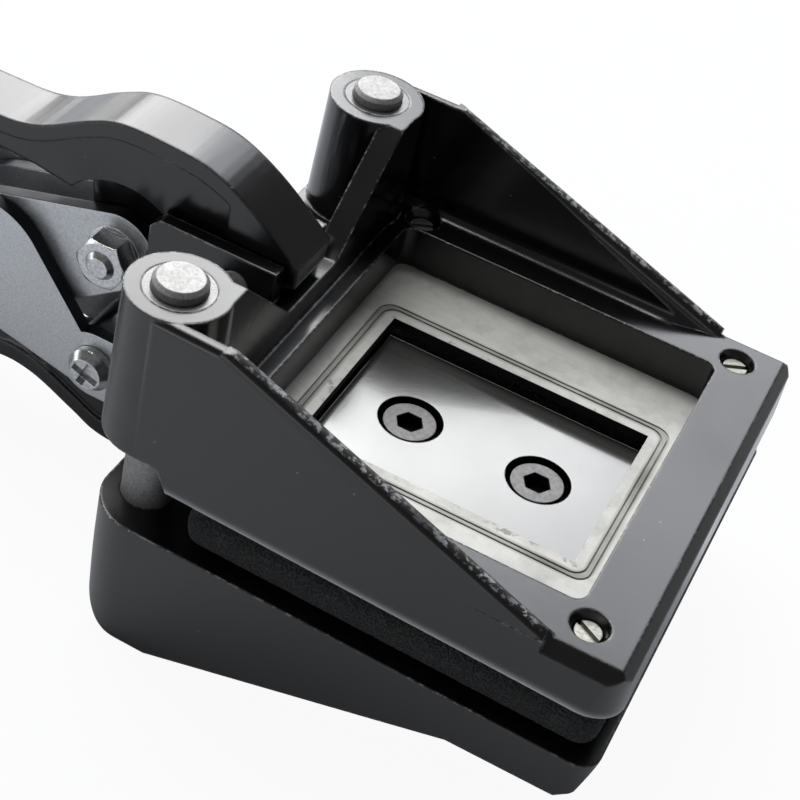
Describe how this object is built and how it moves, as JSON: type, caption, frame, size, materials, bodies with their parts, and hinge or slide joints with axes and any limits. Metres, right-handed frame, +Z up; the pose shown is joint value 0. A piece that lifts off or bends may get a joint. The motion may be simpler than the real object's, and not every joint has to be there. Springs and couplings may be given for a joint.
{
  "type": "id photo cutter",
  "caption": "Hand-held photo die cutter: a steel die in a black cast frame slides on guide pins over a punch and foam pad, closed by linked handles.",
  "frame": {"origin": "middle of the bounding box on the surface that the cutter rests on", "axes": "+X towards the front of the head, +Y to its left side, +Z up along the guide pins"},
  "size_m": [0.2454, 0.0826, 0.0642],
  "materials": {
    "black_paint": "gloss",
    "ground_steel": "brushed",
    "hardened_steel": "polished",
    "plated_steel": "satin",
    "link_steel": "satin",
    "dark_steel": "satin",
    "bush_steel": "satin",
    "black_foam": "matt"
  },
  "bodies": {
    "lower_jaw": {"base_casting": "black_paint", "guide_pin_left": "hardened_steel", "guide_pin_right": "hardened_steel", "punch_block": "ground_steel", "punch_screws": "dark_steel", "foam_pad": "black_foam", "lower_hinge_pin": "hardened_steel"},
    "upper_jaw": {"upper_frame": "black_paint", "die_plate": "ground_steel", "die_screws": "plated_steel", "guide_bush_left": "bush_steel", "guide_bush_right": "bush_steel", "upper_hinge_pin": "hardened_steel"},
    "upper_lever": {"upper_handle": "black_paint"},
    "lower_lever": {"lower_handle": "black_paint", "link_screws": "plated_steel"},
    "inner_links": {"inner_link_left": "link_steel", "inner_link_right": "link_steel", "link_bolt": "plated_steel", "link_nut": "plated_steel", "link_washers": "plated_steel", "centre_pivot": "dark_steel", "lower_slide_pin": "hardened_steel"},
    "outer_links": {"outer_link_left": "link_steel", "outer_link_right": "link_steel", "upper_slide_pin": "hardened_steel"}
  },
  "joints": [
    {"name": "head_slide", "type": "slide", "parent": "lower_jaw", "child": "upper_jaw", "axis": [0, 0, 1], "range_m": [-0.0035, 0], "stiffness_N_per_m": 4000, "springref_m": 0.003, "deforming": ["foam_pad"]},
    {"name": "upper_handle_hinge", "type": "hinge", "parent": "upper_jaw", "child": "upper_lever", "pos_m": [0.04375, 0, 0.0475], "axis": [0, 1, 0], "range_deg": [-4.08, 0]},
    {"name": "lower_handle_hinge", "type": "hinge", "parent": "lower_jaw", "child": "lower_lever", "pos_m": [0.04375, 0, 0.0125], "axis": [0, 1, 0], "range_deg": [0, 4.08]},
    {"name": "inner_link_hinge", "type": "hinge", "parent": "upper_lever", "child": "inner_links", "pos_m": [0.02225, 0, 0.041], "axis": [0, 1, 0], "range_deg": [0, 12.3]},
    {"name": "outer_link_hinge", "type": "hinge", "parent": "lower_lever", "child": "outer_links", "pos_m": [0.02225, 0, 0.019], "axis": [0, 1, 0], "range_deg": [-12.3, 0]}
  ],
  "couplings": [
    {"joint": "head_slide", "follows": "upper_handle_hinge", "m_per_rad": 0.04919},
    {"joint": "lower_handle_hinge", "follows": "upper_handle_hinge", "ratio": -1},
    {"joint": "inner_link_hinge", "follows": "upper_handle_hinge", "ratio": -3.0186},
    {"joint": "outer_link_hinge", "follows": "upper_handle_hinge", "ratio": 3.0186}
  ]
}
